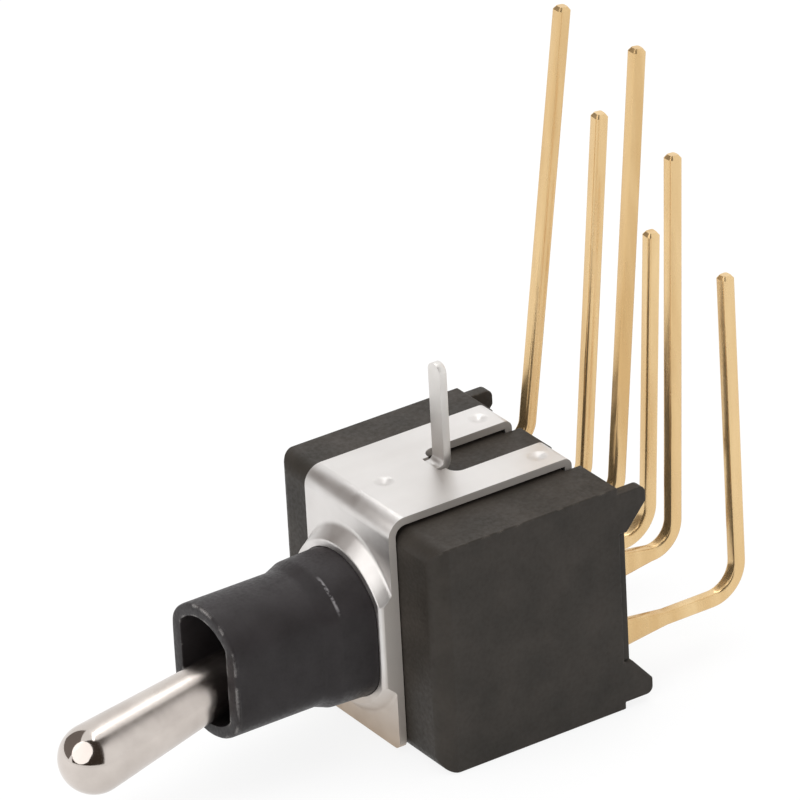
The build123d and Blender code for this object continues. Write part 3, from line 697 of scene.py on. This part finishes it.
def leg_paths():
    """One open line per terminal; its points carry the bend and the root's spread."""
    mesh = bpy.data.meshes.new("leg_paths")
    spots, edges, bends, scales, spreads, axes = [], [], [], [], [], []
    for side in (-1, 1):
        for row, z in ROW_Z.items():
            lean, splay = math.radians(LEG_LEAN[row]), math.radians(LEG_SPLAY[row])
            leg = Vector((-side * math.sin(splay), math.sin(lean), math.cos(lean) * math.cos(splay)))
            leg.normalize()
            corner = Vector((side * PITCH, LEG_AT[row], z))
            tip = corner + leg * ((LEG_TOP[row] - TIP_SHORT - z) / leg.z)
            root_end = min(TAPER_END[row], LEG_AT[row] - LEG_BEND[row] * BEND_SHARE)
            line = [(BLADE_FRONT, ROOT_SPREAD), (BLADE_END[row], ROOT_SPREAD)]
            for i in range(1, ROOT_STEPS + 1):
                part = i / ROOT_STEPS
                y = BLADE_END[row] + (root_end - BLADE_END[row]) * part
                full = (y - BLADE_END[row]) / (TAPER_END[row] - BLADE_END[row])
                # The top row bends before its root narrows.
                if y > BLADE_END[row]:
                    line.append((y, ROOT_SPREAD - full))
            points = [(Vector((side * PITCH, y, z)), 0.0, 1.0, spread) for y, spread in line]
            points.append((corner, LEG_BEND[row], 1.0, 1.0))
            points.append((tip - leg * TIP_LONG, 0.0, 1.0, 1.0))
            points.append((tip, 0.0, TIP_SCALE, 1.0))
            first = len(spots)
            for spot, bend, scale, spread in points:
                spots.append(spot * MM)
                bends.append(bend * MM)
                scales.append(scale)
                spreads.append(spread)
                axes.append(z * MM)
            edges += [(first + i, first + i + 1) for i in range(len(points) - 1)]
    mesh.from_pydata(spots, edges, [])
    for name, values in (("bend", bends), ("scale", scales), ("spread", spreads), ("axis_z", axes)):
        layer = mesh.attributes.new(name, "FLOAT", "POINT")
        layer.data.foreach_set("value", values)
    return mesh


def leg_tree():
    """Sweep a square wire along each line, rounding bends and spreading the roots."""
    tree = bpy.data.node_groups.new("leg_wire", "GeometryNodeTree")
    tree.is_modifier = True
    face = tree.interface
    face.new_socket("Geometry", in_out="INPUT", socket_type="NodeSocketGeometry")
    for name in ("Wire", "Wire Edge"):
        face.new_socket(name, in_out="INPUT", socket_type="NodeSocketFloat")
    face.new_socket("Plate", in_out="INPUT", socket_type="NodeSocketMaterial")
    face.new_socket("Geometry", in_out="OUTPUT", socket_type="NodeSocketGeometry")
    add, link = tree.nodes.new, tree.links.new
    given, result = add("NodeGroupInput"), add("NodeGroupOutput")

    def named(name):
        node = add("GeometryNodeInputNamedAttribute")
        node.data_type = "FLOAT"
        node.inputs["Name"].default_value = name
        return node.outputs["Attribute"]

    lines = add("GeometryNodeMeshToCurve")
    link(given.outputs["Geometry"], lines.inputs["Mesh"])
    bent = add("GeometryNodeFilletCurve")
    bent.mode = "POLY"
    bent.inputs["Count"].default_value = BEND_STEPS
    link(lines.outputs["Curve"], bent.inputs["Curve"])
    link(named("bend"), bent.inputs["Radius"])
    section = add("GeometryNodeCurvePrimitiveQuadrilateral")
    link(given.outputs["Wire"], section.inputs["Width"])
    link(given.outputs["Wire"], section.inputs["Height"])
    rounded = add("GeometryNodeFilletCurve")
    rounded.mode = "POLY"
    rounded.inputs["Count"].default_value = EDGE_STEPS
    link(section.outputs["Curve"], rounded.inputs["Curve"])
    link(given.outputs["Wire Edge"], rounded.inputs["Radius"])
    sweep = add("GeometryNodeCurveToMesh")
    sweep.inputs["Fill Caps"].default_value = True
    link(bent.outputs["Curve"], sweep.inputs["Curve"])
    link(rounded.outputs["Curve"], sweep.inputs["Profile Curve"])
    link(named("scale"), sweep.inputs["Scale"])
    # Each point moves along Z by its height over the axis times (spread - 1).
    place = add("GeometryNodeInputPosition")
    split = add("ShaderNodeSeparateXYZ")
    link(place.outputs["Position"], split.inputs[0])
    above = maths(tree, "SUBTRACT", split.outputs["Z"], named("axis_z"))
    wider = maths(tree, "SUBTRACT", named("spread"), 1.0)
    offset = add("ShaderNodeCombineXYZ")
    link(maths(tree, "MULTIPLY", above, wider), offset.inputs["Z"])
    spread = add("GeometryNodeSetPosition")
    link(sweep.outputs["Mesh"], spread.inputs["Geometry"])
    link(offset.outputs[0], spread.inputs["Offset"])
    real = add("GeometryNodeRealizeInstances")
    link(spread.outputs["Geometry"], real.inputs["Geometry"])
    plated = add("GeometryNodeSetMaterial")
    link(real.outputs["Geometry"], plated.inputs["Geometry"])
    link(given.outputs["Plate"], plated.inputs["Material"])
    link(plated.outputs["Geometry"], result.inputs["Geometry"])
    return tree


gold_plate, tree, shader = finish_of("gold_plate", Metallic=0.85, Roughness=0.24)
streak = speckle(tree, 900, 4, (1, 1, 0.12))
tint = ramp(tree, streak, [(0.3, (0.66, 0.43, 0.19)), (0.7, (0.86, 0.63, 0.34))])
tree.links.new(tint, shader.inputs["Base Color"])
rough_up(tree, shader, speckle(tree, 2600, 4, (1, 1, 0.2)), 0.08, [(0.3, 0.17), (0.7, 0.32)])

legs = keep(leg_paths(), "terminals")
wire_tree = leg_tree()
sweeping = legs.modifiers.new("leg_wire", "NODES")
sweeping.node_group = wire_tree
given = {"Wire": WIRE * MM, "Wire Edge": WIRE_EDGE * MM, "Plate": gold_plate}
for item in wire_tree.interface.items_tree:
    if item.in_out == "INPUT" and item.name in given:
        sweeping[item.identifier] = given[item.name]
bpy.context.view_layer.update()
swept = bpy.data.meshes.new_from_object(legs.evaluated_get(bpy.context.evaluated_depsgraph_get()))
legs.modifiers.clear()


def box_into(bm, low, high):
    """Add one block, given in millimetres, to a bmesh."""
    size = Vector(high) - Vector(low)
    centre = (Vector(high) + Vector(low)) / 2
    place = Matrix.Translation(centre * MM) @ Matrix.Diagonal((*(size * MM), 1))
    bmesh.ops.create_cube(bm, size=1, matrix=place)


# Inside the case: a flat head on each outer terminal, and on each middle one a
# grooved block with an ear either side of the rocker.
bm = bmesh.new()
bm.from_mesh(swept)
for side in (-1, 1):
    x = side * PITCH
    for z in (ROW_Z["top"], ROW_Z["bottom"]):
        box_into(
            bm, (x - HEAD_HALF_X, HEAD_FRONT, z - BLADE_HALF), (x + HEAD_HALF_X, HEAD_BACK, z + BLADE_HALF))
for side in (-1, 1):
    x = side * PITCH
    block = rounded_block(
        (x - EAR_HALF_X, CRADLE_NOSE, -CRADLE_HALF_Z), (x + EAR_HALF_X, CRADLE_BACK, CRADLE_HALF_Z),
        CRADLE_ROUND, "cradle")
    cuts = [
        cross_bar(SEAT_R, GAP_HALF_X, "seat", 48, (x, HINGE_Y)),
        rounded_block((x - GAP_HALF_X, CUT_FRONT, -CUT_REACH), (x + GAP_HALF_X, CRADLE_FRONT, CUT_REACH),
                      GAP_ROUND, "gap"),
    ]
    for low, high in ((EAR_HALF_Z, CUT_REACH), (-CUT_REACH, -EAR_HALF_Z)):
        cuts.append(rounded_block(
            (x - CUT_REACH, CUT_FRONT, low), (x + CUT_REACH, CRADLE_FRONT, high), GAP_ROUND, "top"))
    cut(block, cuts)
    bm.from_mesh(block.data)
    bpy.data.objects.remove(block)
legs.data = mesh_of(bm, "terminals", False)
smooth(legs.data, 30)
paint(legs, gold_plate)
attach(legs, "housing")
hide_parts(*[f"terminal_{side}_{row}" for side in ("left", "right") for row in ROW_Z])

# ---------------------------------------------------------------- pieces inside
# Rubber seal and washer, moulded actuator and ring, silvered rockers and
# plungers, steel springs and pin, and the resin poured round the terminals.


def plain_finish(name, colours, roughness, metallic=0.0, grain=2500, bump=0.1):
    """A two-tone mottled finish for a small piece."""
    material, tree, shader = finish_of(name, Metallic=metallic)
    tone = ramp(tree, speckle(tree, grain, 4), list(zip((0.3, 0.7), colours)))
    tree.links.new(tone, shader.inputs["Base Color"])
    rough_up(tree, shader, speckle(tree, grain * 3, 3), bump, list(zip((0.3, 0.7), roughness)))
    return material


seal_rubber = plain_finish("seal_rubber", ((0.012, 0.012, 0.012), (0.028, 0.027, 0.026)), (0.6, 0.8))
ivory_nylon = plain_finish("ivory_nylon", ((0.50, 0.47, 0.40), (0.62, 0.59, 0.52)), (0.38, 0.52))
silver_plate = plain_finish("silver_plate", ((0.74, 0.72, 0.68), (0.90, 0.88, 0.84)), (0.14, 0.28), 1.0)
spring_wire = plain_finish("spring_wire", ((0.42, 0.42, 0.42), (0.60, 0.60, 0.60)), (0.2, 0.36), 1.0)
sealing_resin = plain_finish(
    "sealing_resin", ((0.016, 0.013, 0.010), (0.034, 0.028, 0.022)), (0.16, 0.34), grain=800, bump=0.25)
for material, covered in (
    (seal_rubber, ("ball_seal", "sleeve_gasket")),
    (ivory_nylon, ("actuator", "pivot_retainer")),
    (silver_plate, ("rocker_left", "rocker_right", "plunger_left", "plunger_right")),
    (spring_wire, ("pivot_pin",)),
    (sealing_resin, ("rear_potting",)),
):
    for node in covered:
        holder = nodes[node]
        if not holder.material_slots:
            holder.data.materials.append(material)
        for place in holder.material_slots:
            place.material = material

# Each spring gets a copy of its own in spring wire, carried with the lever; how far each point reaches
# along the bore is worked out but not used.
SLIDE_AXIS, SLIDE_TRAVEL = Vector((0, 0.977416, 0.211325)), 0.15
for side in ("left", "right"):
    spring = keep(nodes[f"spring_{side}"].data.copy(), f"coil_{side}")
    reach = [spot.co.dot(SLIDE_AXIS) for spot in spring.data.vertices]
    paint(spring, spring_wire)
    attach(spring, "lever")
    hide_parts(f"spring_{side}")
    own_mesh(spring)

# ---------------------------------------------------------------- paper floor
# White paper that the switch stands on. It is seen as white that gives most of
# its own light, and the small share that it only reflects shows the shadow.
FLOOR_HALF, FLOOR_GAP = 2, 0.00002
PAPER_GREY, OWN_LIGHT, REFLECTED = (0.9, 0.9, 0.9), 0.86, (0.14, 0.14, 0.14)
low_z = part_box("switch_case")[0][2]
bm = bmesh.new()
bmesh.ops.create_grid(bm, x_segments=1, y_segments=1, size=FLOOR_HALF)
floor = keep(mesh_of(bm, "floor"))
floor.data.transform(Matrix.Translation((0, 0, low_z - FLOOR_GAP)))
paper, tree, shader = finish_of("paper", Roughness=0.9)
feed(tree, shader.inputs["Base Color"], PAPER_GREY)
shade = tree.nodes.new("ShaderNodeBsdfDiffuse")
feed(tree, shade.inputs["Color"], REFLECTED)
shown = tree.nodes.new("ShaderNodeAddShader")
feed(tree, shown.inputs[0], glow(tree, WHITE, OWN_LIGHT).outputs[0])
feed(tree, shown.inputs[1], shade.outputs[0])
shown_as(tree, shader, shown, "Material Output")
paint(floor, paper)
